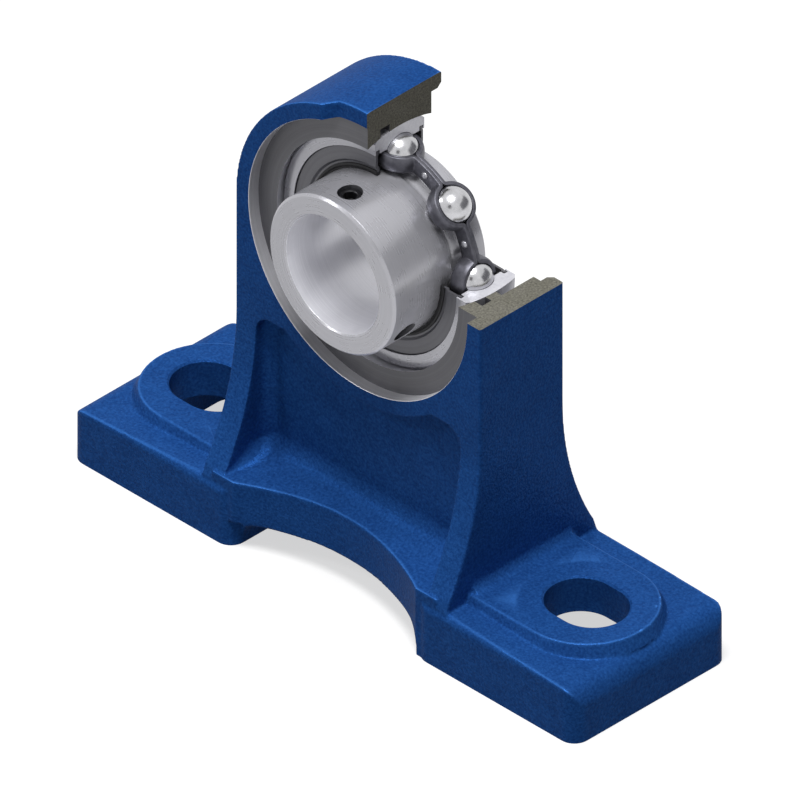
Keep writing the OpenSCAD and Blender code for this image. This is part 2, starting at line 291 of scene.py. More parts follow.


# %% [markdown]
# ### Smaller finishes
# The cage and the shields are pressed from strip, whose surface is smooth but
# dulled by oil. The balls are lapped to a mirror. The set screws are blackened
# in hot oxide, the walls of their tapped holes are painted dark as shade in the
# holes, and the lips are moulded nitrile rubber.

# %% Plain metals, rubber and oxide
def cloudy_metal(name, dark, light, roughness, metallic, spread, size_mm, depth_mm):
    material, tree, place = start_material(name)
    cloud = grain(tree, place, size_mm, 4)
    shader = add(tree, "ShaderNodeBsdfPrincipled", {
        "Base Color": ramp(tree, cloud, [(0.3, dark), (0.7, light)]),
        "Metallic": metallic,
        "Roughness": between(tree, cloud, roughness - spread, roughness + spread),
        "Normal": bump(tree, cloud, depth_mm)})
    finish_material(tree, shader)
    return material


def nitrile_rubber():
    material, tree, place = start_material("moulded nitrile rubber")
    pores = grain(tree, place, 0.3, 3)
    shader = add(tree, "ShaderNodeBsdfPrincipled", {
        "Base Color": ramp(tree, pores, [(0.3, "#0d0d0f"), (0.7, "#1b1b1e")]),
        "Roughness": between(tree, pores, 0.5, 0.7),
        "IOR": 1.52,
        "Specular IOR Level": 0.3,
        "Normal": bump(tree, pores, 0.02)})
    finish_material(tree, shader)
    return material


paint = blue_enamel()
sawn = sawn_iron()
# The turned iron is drawn pale as painted light, and the faces that look along the shaft get a
# dark copy of it as painted shade.
turned = ringed_metal("turned cast iron", "#cacacf", "#dcdce1", 0.42, 0.45, 0.5, 0.006)
shaded_flat_faces = ringed_metal("turned cast iron in painted shade", "#525257", "#616166", 0.45, 0.3, 0.5, 0.006)
milled = cloudy_metal("milled cast iron", "#6e6e70", "#86868a", 0.45, 0.6, 0.06, 0.8, 0.01)
ground = ringed_metal("ground bearing steel", "#aaaab0", "#b4b4ba", 0.28, 0.5, 0.35, 0.001)
# The bore is honed, and it is drawn paler than the ground outside as painted light, because little
# light reaches it.
honed = ringed_metal("honed bore drawn pale as painted light", "#dedee4", "#efeff4", 0.34, 0.5, 0.35, 0.002)
cut_steel = cloudy_metal("cut bearing steel", "#c6c6ce", "#d6d6dc", 0.4, 0.3, 0.05, 0.8, 0.004)
shield_steel = ringed_metal("pressed shield steel", "#59595e", "#66666b", 0.42, 0.5, 0.8, 0.003)
cage_steel = cloudy_metal("oiled cage strip", "#505058", "#66666e", 0.42, 0.7, 0.08, 1.2, 0.01)
rivet_steel = cloudy_metal("plain rivet steel", "#9a9aa0", "#b4b4ba", 0.3, 0.7, 0.06, 0.8, 0.004)
mirror_steel = cloudy_metal("lapped chrome steel", "#b8b8bb", "#cacacd", 0.22, 1.0, 0.05, 2.0,
                            0.001)
oxide = cloudy_metal("black oxide", "#1c1c1f", "#2b2b2f", 0.35, 0.6, 0.08, 0.6, 0.006)
# Painted shade: the walls of the tapped holes are drawn near black.
tapped = cloudy_metal("tapped thread in painted shade", "#232327", "#323237", 0.45, 0.5, 0.06, 0.6, 0.004)
rubber = nitrile_rubber()
print("finishes:", len(bpy.data.materials))

# %% [markdown]
# ## Shapes on the shaft
# Most pieces are turned, so they are made as a lathe makes them: an outline of
# [radius, place along the shaft] is spun once round. Real edges are never
# sharp, so each outline first gets its corners rounded, apart from those that
# are nearly straight.

# %% Outlines and the lathe
LATHE_STEPS = 192
NEARLY_STRAIGHT = 80
MOST_OF_HALF = 0.45
WELD = 1e-7


def rounded(outline, radius_mm, corner_steps=3):
    points = [Vector(p) for p in outline]
    result = []
    for i, corner in enumerate(points):
        back = points[i - 1] - corner
        ahead = points[(i + 1) % len(points)] - corner
        half = back.angle(ahead) / 2
        if half > math.radians(NEARLY_STRAIGHT):
            result.append(corner)
            continue
        reach = min(radius_mm / math.tan(half),
                    MOST_OF_HALF * back.length, MOST_OF_HALF * ahead.length)
        inward = (back.normalized() + ahead.normalized()).normalized()
        middle = corner + inward * reach / math.cos(half)
        start = corner + back.normalized() * reach - middle
        end = corner + ahead.normalized() * reach - middle
        for k in range(corner_steps + 1):
            share = k / corner_steps
            arm = start.lerp(end, share).normalized() * start.length
            result.append(middle + arm)
    return result


def arc(centre, radius, start_deg, end_deg, count):
    run = end_deg - start_deg
    angles = [math.radians(start_deg + run * i / count) for i in range(count + 1)]
    return [(centre[0] + radius * math.cos(a), centre[1] + radius * math.sin(a)) for a in angles]


def round_shaft(radius, angle, y):
    return shaft + Vector((radius * math.sin(angle), y, radius * math.cos(angle))) * MM


def piece_from(mesh, name, material):
    data = bpy.data.meshes.new(name)
    bmesh.ops.remove_doubles(mesh, verts=mesh.verts, dist=WELD)
    bmesh.ops.recalc_face_normals(mesh, faces=mesh.faces)
    mesh.to_mesh(data)
    mesh.free()
    piece = bpy.data.objects.new(name, data)
    bpy.context.scene.collection.objects.link(piece)
    data.materials.append(material)
    return piece


def lathe(name, outline, material):
    mesh = bmesh.new()
    rings = []
    for i in range(LATHE_STEPS):
        angle = 2 * math.pi * i / LATHE_STEPS
        rings.append([mesh.verts.new(round_shaft(r, angle, y)) for r, y in outline])
    for near, far in zip(rings, rings[1:] + rings[:1]):
        for i, (r, y) in enumerate(outline):
            j = (i + 1) % len(outline)
            if r > 0 or outline[j][0] > 0:
                mesh.faces.new((near[i], near[j], far[j], far[i]))
    return piece_from(mesh, name, material)


def add_finish(piece, material, wanted):
    piece.data.materials.append(material)
    for face in piece.data.polygons:
        if wanted(face):
            face.material_index = len(piece.data.materials) - 1


def smooth_shade(piece, angle_deg=30):
    piece.data.shade_smooth()
    piece.data.set_sharp_from_angle(angle=math.radians(angle_deg))


print("lathe turns in", LATHE_STEPS, "steps")

# %% [markdown]
# ## Cutting
# A boolean takes the shape of one mesh out of another. The tool's own material
# goes onto the faces that it leaves, so a cut through the painted casting shows
# bare iron without any masks. A tool reaches a little past the surface it cuts.

# %% Cutting helpers
PAST = 2
FAR = 60
shaft_mm = shaft.z / MM


def loft(name, sections, material):
    mesh = bmesh.new()
    rings = [[mesh.verts.new(Vector(p) * MM) for p in section] for section in sections]
    for near, far in zip(rings, rings[1:]):
        for i in range(len(near)):
            j = (i + 1) % len(near)
            mesh.faces.new((near[i], near[j], far[j], far[i]))
    mesh.faces.new(rings[0])
    mesh.faces.new(rings[-1])
    return piece_from(mesh, name, material)


def prism(name, plan, low, high, material):
    return loft(name, [[(x, y, z) for x, y in plan] for z in (low, high)], material)


def block(name, low, high, material):
    corners = [(low[0], low[1]), (high[0], low[1]), (high[0], high[1]), (low[0], high[1])]
    return prism(name, corners, low[2], high[2], material)


def bake_modifiers(piece):
    graph = bpy.context.evaluated_depsgraph_get()
    data = bpy.data.meshes.new_from_object(piece.evaluated_get(graph))
    piece.modifiers.clear()
    old = piece.data
    piece.data = data
    bpy.data.meshes.remove(old)


def cut(piece, tool):
    change = piece.modifiers.new("cut", "BOOLEAN")
    change.operation = "DIFFERENCE"
    change.solver = "MANIFOLD"
    change.material_mode = "TRANSFER"
    change.object = tool
    bake_modifiers(piece)
    bpy.data.objects.remove(tool)


def open_window(piece, bare):
    cut(piece, block("window", (0, -FAR, shaft_mm), (FAR, FAR, shaft_mm + FAR), bare))


print("the window starts at the shaft centre")

# %% [markdown]
# ## The casting
# The CAD solid has the right forms but knife-sharp edges. A sand casting has
# soft edges and small fillets everywhere, so a merged copy is rebuilt from
# voxels and relaxed a little. The places that a machine tool cuts afterwards
# are filled before that step and cut crisply after it: the seat, the bolt
# slots, the underside and the sawn window.
#
# Each side of the web is a pocket with soft inner corners. A fillet is a strip
# whose section is a corner with a round bite taken out of it. The strips follow
# the foot of the web, the upright corners and the hollow top of the bridge, and
# the voxels melt them into the body.

# %% Fillets in the pockets
WEB_Y = 9.5
WEB_INSIDE = 8.5
POCKET_X = 33.0
POCKET_TOP = 58
LEDGE_H = 18.4
LEDGE_Y = 22.0
HOLLOW_R = 21.105
POCKET_R = 4.0
FADE_FROM = 23.2
FADE_RUN = 7
WEB_FILLET = (15.5, 25.87, 6.0)
WEB_TOE = (13.2, 20.0)
SUNK = 0.5
SUNK_Z = 19
LEDGE_FROM = 9.6
STATIONS = (8.8, 9.6, 10, 10.5, 11, 11.6, 12.2, 13, 14, 16, 18, 20, 21, 22, 22.8)


def ledge_height(y):
    if y > LEDGE_Y:
        return LEDGE_H
    low = LEDGE_H + HOLLOW_R - math.sqrt(HOLLOW_R ** 2 - (LEDGE_Y - y) ** 2)
    middle_y, middle_z, radius = WEB_FILLET
    if y < middle_y:
        low = max(low, middle_z - math.sqrt(max(radius ** 2 - (middle_y - y) ** 2, 0)))
    return low


def web_curve():
    return arc(WEB_FILLET[:2], WEB_FILLET[2], 180, 244.5, 10)


def along_x(outline, side, reach, name):
    return loft(name, [[(x, side * y, z) for y, z in outline] for x in (-reach, reach)], paint)


def hollow_corner(corner, out_x, out_y, radius, back=SUNK):
    cx, cy = corner
    middle_x, middle_y = cx - out_x * radius, cy - out_y * radius
    bite = [(middle_x + out_x * dx, middle_y + out_y * dy)
            for dx, dy in arc((0, 0), radius, 0, 90, 8)]
    far_x, far_y = cx + out_x * back, cy + out_y * back
    return [(far_x, middle_y), *bite, (middle_x, far_y), (far_x, far_y)]


def web_fillet(side):
    toe_y, toe_z = WEB_TOE
    outline = [(WEB_INSIDE, SUNK_Z), (WEB_INSIDE, WEB_FILLET[1]), *web_curve()]
    outline += [(toe_y, toe_z), (toe_y, SUNK_Z)]
    return along_x(outline, side, POCKET_X + SUNK, "web_fillet")


def ledge_fillet(side, end):
    sections = []
    for y in STATIONS:
        corner = (end * POCKET_X, ledge_height(max(y, LEDGE_FROM)))
        radius = POCKET_R * min(1, max(0.1, (FADE_FROM - y) / FADE_RUN))
        sections.append([(x, side * y, z) for x, z in hollow_corner(corner, end, -1, radius)])
    return loft("ledge_fillet", sections, paint)


def upright_fillet(side, end):
    section = hollow_corner((end * POCKET_X, side * WEB_Y), end, -side, POCKET_R)
    return prism("pocket_fillet", section, SUNK_Z, POCKET_TOP, paint)


def pocket_fillets(side):
    pieces = [web_fillet(side)]
    for end in (-1, 1):
        pieces += [ledge_fillet(side, end), upright_fillet(side, end)]
    return pieces


print("fillet radius in the pockets:", POCKET_R, "mm")

# %% [markdown]
# The copy also needs a little help before the voxels. The web's own fillet ends
# in a thin lip over the falling ledge, so the lip is cut off first. The arch
# side of the left foot gets round corners. A full disc fills the seat, and
# blocks fill the bolt slots, until they are cut.

# %% The rough casting
PAD_H = 18
FOOT_GAP = 29.5
FOOT_HALF = 25.0
FOOT_CORNER_R = 4.0
FOOT_CORNER_TOP = 7.0
CROWN_R = 39.45
CROWN_HALF = 13.5
NOTCH_LOW = 31.3
NOTCH_HALF = 9
NOTCH_DEPTH = 2.95
NOTCH_RISE = 20
FILLER_HALF_X, FILLER_HALF_Y = 11, 9
VOXEL = 0.3
RELAX_STEPS = 9
KEEP_SHARE = 0.12
BASE_EXTRA = 4
ON_BASE = 0.01
LIP_TOP = 32
LIP_Y = 14
LIP_OVERCUT = 0.02


def foot_corners():
    for side in (-1, 1):
        corner = hollow_corner((-FOOT_GAP, side * FOOT_HALF), 1, side, FOOT_CORNER_R, PAST)
        yield prism("foot_corner", corner, -BASE_EXTRA - PAST, FOOT_CORNER_TOP, paint)


def crown_notch():
    low = shaft_mm + NOTCH_LOW
    front = -CROWN_HALF
    wide = NOTCH_HALF + NOTCH_DEPTH + PAST
    deep = front + NOTCH_DEPTH
    outline = [(-wide, front - PAST), (-NOTCH_HALF, deep),
               (NOTCH_HALF, deep), (wide, front - PAST)]
    return prism("notch", outline, low, low + NOTCH_RISE, paint)


def rough_casting():
    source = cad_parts["housing"].data
    mesh = bmesh.new()
    mesh.from_mesh(source)
    bmesh.ops.remove_doubles(mesh, verts=mesh.verts, dist=WELD)
    for vertex in mesh.verts:
        if vertex.co.z < ON_BASE * MM:
            vertex.co.z = -BASE_EXTRA * MM
    body = piece_from(mesh, "casting", paint)
    for side in (-1, 1):
        lip = [(WEB_Y, LIP_TOP), *web_curve(), (LIP_Y, ledge_height(LIP_Y)), (LIP_Y, LIP_TOP)]
        cut(body, along_x(lip, side, POCKET_X + LIP_OVERCUT, "lip"))
    for corner in foot_corners():
        cut(body, corner)
    fillets = pocket_fillets(-1) + pocket_fillets(1)
    front, back = -CROWN_HALF, CROWN_HALF
    disc = lathe("disc", [(0, front), (CROWN_R, front), (CROWN_R, back), (0, back)], paint)
    cut(disc, crown_notch())
    slots = [block("slot_filler", (x - FILLER_HALF_X, -FILLER_HALF_Y, -BASE_EXTRA),
                   (x + FILLER_HALF_X, FILLER_HALF_Y, PAD_H), paint) for x in (-BOLT_X, BOLT_X)]
    parts = [body, disc, *slots, *fillets]
    with bpy.context.temp_override(active_object=body, selected_editable_objects=parts):
        bpy.ops.object.join()
    remesh = body.modifiers.new("sand", "REMESH")
    remesh.mode = "VOXEL"
    remesh.voxel_size = VOXEL * MM
    relax = body.modifiers.new("relax", "SMOOTH")
    relax.factor = 0.5
    relax.iterations = RELAX_STEPS
    thin = body.modifiers.new("thin", "DECIMATE")
    thin.ratio = KEEP_SHARE
    bake_modifiers(body)
    return body


casting = rough_casting()
print("casting faces:", len(casting.data.polygons))

# %% [markdown]
# The seat is turned: a shallow recess, then a flat ring, then the hollow sphere
# in which the bearing can tilt, with a grease groove near its front. Two slots at
# the back let the bearing in sideways. The bolt slots are cut from above, and the
# feet are hollow from below, which saves iron and shows through the slots.

# %% Machined cuts
SEAT_R = 31.06
RECESS_R = 35.3
RECESS_Y = 10.3
MOUTH_FRONT, MOUTH_BACK = 0.1, 1.2
SEAT_PAST = 3
GROOVE_FROM, GROOVE_TO, GROOVE_R = -6.2, -3.2, 32.9
FILLING_HALF_H = 9.5
FILLING_R = 33
SLOT_R = 8.5
SLOT_RUN = 2
SLOT_CHAMFER = 0.5
CAVITY_X = (36, 73)
CAVITY_HALF_Y = 19
CAVITY_R = 5
CAVITY_TOP = 8.26
CAVITY_DRAFT = 0.5
UNDERSIDE = ((-100, -60, -20), (100, 60, 0))


def seat_outline():
    def angle_at(y):
        return math.degrees(math.asin(y / SEAT_R))
    edge = math.sqrt(SEAT_R ** 2 - RECESS_Y ** 2)
    front, back = -CROWN_HALF, CROWN_HALF
    outline = [(0, front - SEAT_PAST), (RECESS_R + MOUTH_FRONT + SEAT_PAST, front - SEAT_PAST)]
    outline += [(RECESS_R, front + MOUTH_FRONT), (RECESS_R, -RECESS_Y), (edge, -RECESS_Y)]
    outline += arc((0, 0), SEAT_R, angle_at(-RECESS_Y) + 0.5, angle_at(GROOVE_FROM), 8)
    outline += [(GROOVE_R, GROOVE_FROM), (GROOVE_R, GROOVE_TO)]
    outline += arc((0, 0), SEAT_R, angle_at(GROOVE_TO), angle_at(RECESS_Y) - 0.5, 20)
    outline += [(edge, RECESS_Y), (RECESS_R, RECESS_Y), (RECESS_R, back - MOUTH_BACK)]
    outline += [(RECESS_R + MOUTH_BACK + SEAT_PAST, back + SEAT_PAST), (0, back + SEAT_PAST)]
    return outline


def filling_slots():
    bend = math.degrees(math.asin(FILLING_HALF_H / FILLING_R))
    right = arc((0, shaft_mm), FILLING_R, -bend, bend, 10)
    left = arc((0, shaft_mm), FILLING_R, 180 - bend, 180 + bend, 10)
    levels = (0, CROWN_HALF + SEAT_PAST)
    return loft("filling_slots", [[(x, y, z) for x, z in right + left] for y in levels], turned)


def bolt_slot(x_middle):
    sections = []
    for z, grow in ((-PAST, 0.5), (0.4, 0), (PAD_H - SLOT_CHAMFER, 0),
                    (PAD_H + PAST, SLOT_CHAMFER + PAST)):
        right = arc((x_middle + SLOT_RUN, 0), SLOT_R + grow, -90, 90, 32)
        left = arc((x_middle - SLOT_RUN, 0), SLOT_R + grow, 90, 270, 32)
        sections.append([(x, y, z) for x, y in right + left])
    return loft("bolt_slot", sections, paint)


def foot_cavity(end):
    sections = []
    low_x, high_x = CAVITY_X[0] + CAVITY_R, CAVITY_X[1] - CAVITY_R
    half_y = CAVITY_HALF_Y - CAVITY_R
    middles = ((high_x, half_y), (low_x, half_y), (low_x, -half_y), (high_x, -half_y))
    for z, draft in ((-PAST, 0.0), (CAVITY_TOP, CAVITY_DRAFT)):
        plan = []
        for i, middle in enumerate(middles):
            plan += arc(middle, CAVITY_R - draft, 90 * i, 90 * i + 90, 8)
        sections.append([(end * x, y, z) for x, y in plan])
    return loft("foot_cavity", sections, paint)


cut(casting, block("under", *UNDERSIDE, milled))
for end in (-1, 1):
    cut(casting, foot_cavity(end))
seat = lathe("seat", seat_outline(), turned)
# Painted shade: the flat seat faces that look along the shaft take the dark copy of the turned
# iron.
add_finish(seat, shaded_flat_faces, lambda face: abs(face.normal.y) > 0.9)
cut(casting, seat)
cut(casting, filling_slots())
for x_middle in (-BOLT_X, BOLT_X):
    cut(casting, bolt_slot(x_middle))
open_window(casting, sawn)
smooth_shade(casting)
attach(casting, "housing")
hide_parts("housing")
print("casting:", len(casting.data.polygons), "faces,", len(casting.data.materials), "materials")

# %% [markdown]
# ## Rings and seals
# The outer ring is round outside, so it can tilt in the seat, and has a track
# for the balls inside. A pressed shield is snapped into a groove at each side,
# and a rubber lip on it wipes the inner ring. All five are cut open with the
# housing. The inner ring stays whole.

# %% Outer ring
BALL_R = 4.75
TRACK_R = BALL_R + 0.1
PITCH_R = 23.75
RING_R = 31
RING_HALF = 8
RING_EDGE = 0.9
SHOULDER_R = 26.3
FACE_R = 29.3
SEAL_R = 27.4
SEAL_FROM, SEAL_TO = 6.4, 7.6
TRACK_STEPS = 24


def track(radius, start_side):
    half = math.sqrt(TRACK_R ** 2 - (radius - PITCH_R) ** 2)
    bottom = 1 if radius > PITCH_R else -1
    points = []
    for i in range(TRACK_STEPS + 1):
        y = start_side * half * (1 - 2 * i / TRACK_STEPS)
        points.append((PITCH_R + bottom * math.sqrt(max(TRACK_R ** 2 - y * y, 0)), y))
    return points


def seal_groove(side):
    inner, outer = side * SEAL_FROM, side * SEAL_TO
    groove = [(SHOULDER_R, outer), (SEAL_R, outer), (SEAL_R, inner), (SHOULDER_R, inner)]
    return groove if side > 0 else groove[::-1]


def outer_ring():
    bend = math.degrees(math.asin((RING_HALF - RING_EDGE) / RING_R))
    outline = [(SHOULDER_R, -RING_HALF), (FACE_R, -RING_HALF)]
    outline += arc((0, 0), RING_R, -bend, bend, 24)
    outline += [(FACE_R, RING_HALF), (SHOULDER_R, RING_HALF)]
    outline += seal_groove(1) + track(SHOULDER_R, 1) + seal_groove(-1)
    return lathe("outer_ring_ground", rounded(outline, 0.12), ground)


# %% Shields and lips
def shield(name, side):
    outline = [(21.3, 6.5), (22.6, 6.5), (23.1, 7.0), (25.9, 7.0), (26.15, 6.75), (27.2, 6.75),
               (27.2, 7.4), (26.35, 7.4), (26.1, 7.6), (22.75, 7.6), (22.2, 7.1), (21.3, 7.1)]
    return lathe(name, rounded([(r, side * y) for r, y in outline], 0.2), shield_steel)


def lip(name, side):
    outline = [(20.42, 6.5), (20.7, 6.1), (21.7, 6.1), (21.7, 6.47), (21.27, 6.47), (21.27, 7.13),
               (21.7, 7.13), (21.7, 7.35), (21.2, 7.5), (20.75, 7.2), (20.42, 7.25)]
    return lathe(name, rounded([(r, side * y) for r, y in outline], 0.08), rubber)


for piece, node, slot_name, bare in (
        (outer_ring(), "outer_ring", "ground_steel", cut_steel),
        (shield("front_shield_pressed", -1), "front_shield", "shield_steel", shield_steel),
        (shield("rear_shield_pressed", 1), "rear_shield", "shield_steel", shield_steel),
        (lip("front_lip_moulded", -1), "front_lip", "black_rubber", rubber),
        (lip("rear_lip_moulded", 1), "rear_lip", "black_rubber", rubber)):
    open_window(piece, bare)
    smooth_shade(piece)
    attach(piece, "insert")
    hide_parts(node)
    print(piece.name, len(piece.data.polygons), "faces")

# %% [markdown]
# ## Inner ring and set screws
# The inner ring reaches out at the front to make room for two set screws, which
# lock it to the shaft. Their holes are tapped, so the first turns of the thread
# show at the mouth. The screws have a hexagon socket and sit just below the
# surface of the ring.

# %% Inner ring
INNER_R = 20.35
BORE_R = 15
INNER_FRONT = inner_low.y / MM
INNER_BACK = inner_high.y / MM
SCREW_Y = INNER_FRONT + 6
SCREW_ANGLES = (90, -30)
SCREW_R = 3
SCREW_TOP = INNER_R - 0.9
SCREW_LOW = BORE_R + 0.4
SCREW_STEPS = 48
SCREW_GAP = 0.05
HOLE_CHAMFER = 0.1
HOLE_PAST = 1.7
SOCKET_R = 1.73
SOCKET_DEPTH = 2.1
THREAD_PITCH = 1.0
THREAD_DEPTH = 0.35
ALONG = Vector((0, 1, 0))


def screw_axes(angle_deg):
    out = Vector((math.cos(math.radians(angle_deg)), 0, math.sin(math.radians(angle_deg))))
    return shaft / MM + ALONG * SCREW_Y, out, out.cross(ALONG)


def on_screw_axis(angle_deg, outline, name, material):
    foot, out, side = screw_axes(angle_deg)
    mesh = bmesh.new()
    rings = []
    for i in range(SCREW_STEPS):
        turn = 2 * math.pi * i / SCREW_STEPS
        around = side * math.cos(turn) + ALONG * math.sin(turn)
        rings.append([mesh.verts.new((foot + out * height + around * radius) * MM)
                      for radius, height in outline])
    for near, far in zip(rings, rings[1:] + rings[:1]):
        for i, (radius, height) in enumerate(outline):
            j = (i + 1) % len(outline)
            if radius > 0 or outline[j][0] > 0:
                mesh.faces.new((near[i], near[j], far[j], far[i]))
    return piece_from(mesh, name, material)


def thread(radius, low, high):
    points = []
    turns = int((high - low) / THREAD_PITCH)
    for i in range(turns):
        start = low + i * THREAD_PITCH
        points += [(radius - THREAD_DEPTH, start), (radius, start + THREAD_PITCH / 2)]
    return points + [(radius - THREAD_DEPTH, low + turns * THREAD_PITCH)]


def inner_ring():
    land, land_half = INNER_R - 0.25, 4.6
    edge, bore_edge = 0.6, 0.4
    front, back = INNER_FRONT, INNER_BACK
    outline = [(BORE_R + bore_edge, front), (INNER_R - edge, front), (INNER_R, front + edge)]
    outline += [(INNER_R, -land_half), (land, -land_half)] + track(land, -1)
    outline += [(land, land_half), (INNER_R, land_half)]
    outline += [(INNER_R, back - edge), (INNER_R - edge, back), (BORE_R + bore_edge, back)]
    outline += [(BORE_R, back - bore_edge), (BORE_R, front + bore_edge)]
    ring = lathe("inner_ring_ground", rounded(outline, 0.1), ground)
    hole = [(0, BORE_R - 1), *thread(SCREW_R, BORE_R - 1, SCREW_TOP)]
    hole += [(SCREW_R, INNER_R - HOLE_CHAMFER)]
    hole += [(SCREW_R + HOLE_CHAMFER + HOLE_PAST, INNER_R + HOLE_PAST), (0, INNER_R + HOLE_PAST)]
    for angle in SCREW_ANGLES:
        # The hole walls take the near-black thread finish, which is painted shade.
        cut(ring, on_screw_axis(angle, hole, "hole", tapped))
    # The bore takes the paler honed finish: a honed surface, with painted light.
    add_finish(ring, honed, lambda face: (face.center - shaft).xz.length < (BORE_R + 0.05) * MM)
    return ring


def socket(angle):
    foot, out, side = screw_axes(angle)
    turns = [math.radians(60 * i) for i in range(6)]
    hexagon = [side * math.cos(turn) + ALONG * math.sin(turn) for turn in turns]
    bottom = SCREW_TOP - SOCKET_DEPTH
    levels = ((bottom - 0.5, 0.2 * SOCKET_R), (bottom, SOCKET_R), (SCREW_TOP + 1, SOCKET_R))
    return loft("socket", [[foot + out * height + corner * size for corner in hexagon]
                           for height, size in levels], oxide)


def set_screw(name, angle):
    low, top = SCREW_LOW, SCREW_TOP
    outer = SCREW_R - SCREW_GAP
    cup = [(0, low + 0.6), (1.4, low + 0.2), (1.6, low)]
    start = (outer - THREAD_DEPTH - 0.1, low)
    turns = thread(outer, low + 0.35, top - 0.4)
    head = [(outer - 0.4, top), (1.9, top), (1.72, top - 0.18), (0, top - 0.18)]
    screw = on_screw_axis(angle, [*cup, start, *turns, *head], name, oxide)
    cut(screw, socket(angle))
    return screw


for piece, node, slot_name in (
        (inner_ring(), "inner_ring", "ground_steel"),
        (set_screw("set_screw_top_hex", SCREW_ANGLES[0]), "set_screw_top", "black_oxide"),
        (set_screw("set_screw_side_hex", SCREW_ANGLES[1]), "set_screw_side", "black_oxide")):
    smooth_shade(piece)
    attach(piece, "shaft_ring")
    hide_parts(node)
    print(piece.name, len(piece.data.polygons), "faces")

# %% [markdown]
# ## Balls and cage
# The cage is two wavy strips that are pressed round the balls and riveted
# together between them. Along the strip its middle line is an arc about the
# ball, then a small bend, then a flat. The strip is built row by row: the
# nearer a row is to the pitch circle, the wider its arc, which dishes the
# pocket like the ball.

# %% Cage strip
BALLS = 8
CAGE_T = 0.95
CAGE_RADII = (21.6, 22.65, 23.7, 24.75, 25.8)
BEND_R = 0.9
BALL_POCKET_R = TRACK_R + CAGE_T / 2


def strip_path(radius, offset, arc_steps=14, bend_steps=5, flat_steps=4):
    flat_y = CAGE_T / 2
    pocket = math.sqrt(BALL_POCKET_R ** 2 - (radius - PITCH_R) ** 2)
    bend_x = math.sqrt((pocket + BEND_R) ** 2 - (flat_y + BEND_R) ** 2)
    turn = math.asin(bend_x / (pocket + BEND_R))
    half_sector = 2 * math.sqrt(radius * PITCH_R) * math.sin(math.pi / BALLS / 2)
    path = []
    for i in range(arc_steps + 1):
        angle = turn * i / arc_steps
        path.append(((pocket + offset) * math.sin(angle), (pocket + offset) * math.cos(angle)))
    for i in range(1, bend_steps + 1):
        angle = turn * (1 - i / bend_steps)
        path.append((bend_x - (BEND_R - offset) * math.sin(angle),
                     flat_y + BEND_R - (BEND_R - offset) * math.cos(angle)))
    for i in range(1, flat_steps):
        path.append((bend_x + (half_sector - bend_x) * i / flat_steps, flat_y + offset))
    path.append((half_sector, flat_y + offset))
    return [(-x, y) for x, y in path[:0:-1]] + path[:-1]


def cage_half(name, side):
    mesh = bmesh.new()
    lines = []
    rows = [(r, CAGE_T / 2) for r in CAGE_RADII] + [(r, -CAGE_T / 2) for r in reversed(CAGE_RADII)]
    for radius, offset in rows:
        mean = math.sqrt(radius * PITCH_R)
        path = strip_path(radius, offset)
        line = []
        for k in range(BALLS):
            for x, y in path:
                angle = 2 * math.pi * k / BALLS + 2 * math.asin(x / (2 * mean))
                line.append(mesh.verts.new(round_shaft(radius, angle, side * y)))
        lines.append(line)
    for near, far in zip(lines, lines[1:] + lines[:1]):
        for i in range(len(near)):
            j = (i + 1) % len(near)
            mesh.faces.new((near[i], near[j], far[j], far[i]))
    half = piece_from(mesh, name, cage_steel)
    edge = half.modifiers.new("rolled edge", "BEVEL")
    edge.width = 0.15 * MM
    edge.segments = 2
    edge.limit_method = "ANGLE"
    edge.angle_limit = math.radians(50)
    bake_modifiers(half)
    return half


for side, node in ((-1, "cage_front"), (1, "cage_rear")):
    half = cage_half(node + "_pressed", side)
    smooth_shade(half, 40)
    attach(half, "cage")
    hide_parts(node)
    print(half.name, len(half.data.polygons), "faces")

# %% [markdown]
# The rivets repeat round the shaft, so Geometry Nodes place them: one rivet is
# a shank with two domed heads, and it is instanced on the points of a circle
# that lie halfway between the balls.

